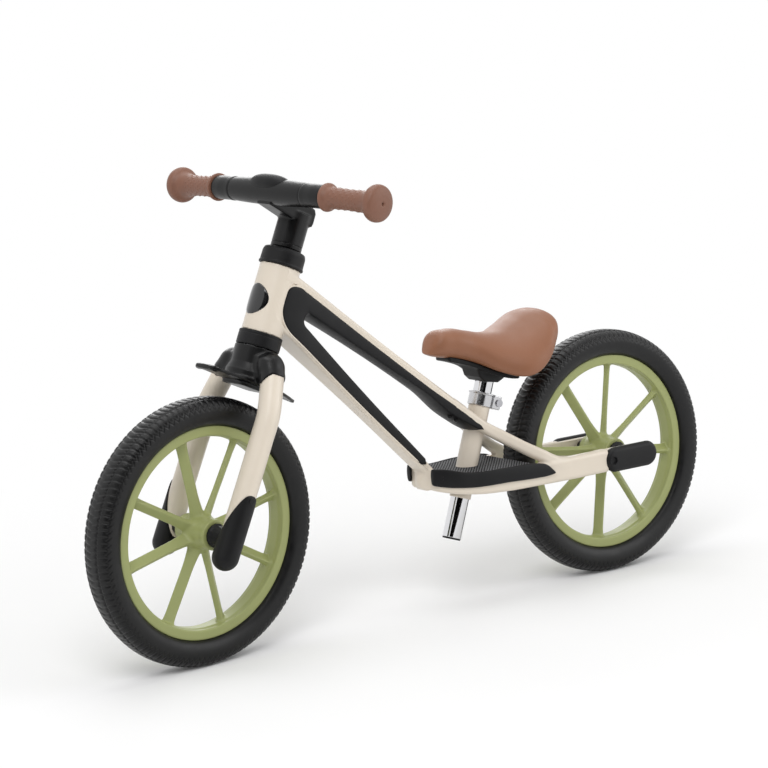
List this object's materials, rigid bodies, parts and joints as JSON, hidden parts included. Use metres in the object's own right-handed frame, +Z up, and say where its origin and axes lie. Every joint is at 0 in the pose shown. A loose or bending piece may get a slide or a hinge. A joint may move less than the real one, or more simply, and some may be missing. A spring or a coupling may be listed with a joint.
{
  "type": "balance bike",
  "caption": "Child's pedal-free balance bike with a hollow-sided alloy frame, footrest, turning fork, spoked moulded wheels, height-adjustable saddle and rubber grips.",
  "frame": {"origin": "on the ground, midway between the two wheel axles", "axes": "+Z up, the bike rolls towards -X, its rider's left is -Y"},
  "size_m": [0.8703, 0.3406, 0.5275],
  "materials": {
    "cream_paint": "smooth cream gloss paint on a cast alloy frame",
    "green_moulding": "olive green moulded nylon with a fine satin grain",
    "tyre_rubber": "black rubber with a siped tread",
    "black_plastic": "black moulded plastic, satin",
    "brown_vinyl": "smooth tan vinyl over padding",
    "brown_rubber": "tan rubber with rows of small dots",
    "chrome": "bright chrome plate",
    "cast_alloy": "tumbled cast alloy",
    "zinc_steel": "zinc plated steel"
  },
  "bodies": {
    "frame": {"head_tube": "cream_paint", "head_badge": "black_plastic", "lower_headset_cup": "black_plastic", "top_headset_cap": "black_plastic", "lower_headset_bearing": "zinc_steel", "top_headset_bearing": "zinc_steel", "top_beam": "cream_paint", "down_tube": "cream_paint", "frame_liner": "black_plastic", "footrest_deck": "black_plastic", "left_stay": "cream_paint", "left_arm": "cream_paint", "left_side_cover": "black_plastic", "left_axle_cover": "black_plastic", "left_axle_cover_screw": "zinc_steel", "right_stay": "cream_paint", "right_arm": "cream_paint", "right_side_cover": "black_plastic", "right_axle_cover": "black_plastic", "right_axle_cover_screw": "zinc_steel", "seat_tube": "cream_paint", "seat_clamp": "cast_alloy", "seat_clamp_bolt": "zinc_steel", "seat_clamp_nut": "zinc_steel", "rear_axle": "zinc_steel", "rear_spacer_left": "black_plastic", "rear_axle_nut_left": "zinc_steel", "rear_spacer_right": "black_plastic", "rear_axle_nut_right": "zinc_steel"},
    "fork": {"steerer_tube": "zinc_steel", "fork_crown": "black_plastic", "stem": "black_plastic", "handlebar": "black_plastic", "handlebar_pad": "black_plastic", "left_fork_leg": "cream_paint", "left_leg_cover": "black_plastic", "left_leg_cover_screw": "zinc_steel", "left_grip": "brown_rubber", "right_fork_leg": "cream_paint", "right_leg_cover": "black_plastic", "right_leg_cover_screw": "zinc_steel", "right_grip": "brown_rubber", "front_axle": "zinc_steel", "front_spacer_left": "black_plastic", "front_axle_nut_left": "zinc_steel", "front_spacer_right": "black_plastic", "front_axle_nut_right": "zinc_steel"},
    "front_wheel": {"front_tyre": "tyre_rubber", "front_wheel": "green_moulding", "front_bearing_left": "zinc_steel", "front_bearing_right": "zinc_steel"},
    "rear_wheel": {"rear_tyre": "tyre_rubber", "rear_wheel": "green_moulding", "rear_bearing_left": "zinc_steel", "rear_bearing_right": "zinc_steel"},
    "seat": {"saddle": "brown_vinyl", "saddle_base": "black_plastic", "seat_post": "chrome", "seat_post_plug": "black_plastic"}
  },
  "joints": [
    {"name": "steering", "type": "hinge", "parent": "frame", "child": "fork", "pos_m": [-0.18291, 0, 0.37358], "axis": [0.4035, 0, 0.915], "range_deg": [-66.7, 53.3]},
    {"name": "front_wheel_spin", "type": "hinge", "parent": "fork", "child": "front_wheel", "pos_m": [-0.2887, -0.00063, 0.147], "axis": [-0.1067, 0.9932, 0.0471], "continuous": true},
    {"name": "rear_wheel_spin", "type": "hinge", "parent": "frame", "child": "rear_wheel", "pos_m": [0.2887, 0, 0.147], "axis": [0, 1, 0], "continuous": true},
    {"name": "seat_height", "type": "slide", "parent": "frame", "child": "seat", "axis": [0.3282, 0, 0.9446], "range_m": [-0.01, 0.05]}
  ]
}
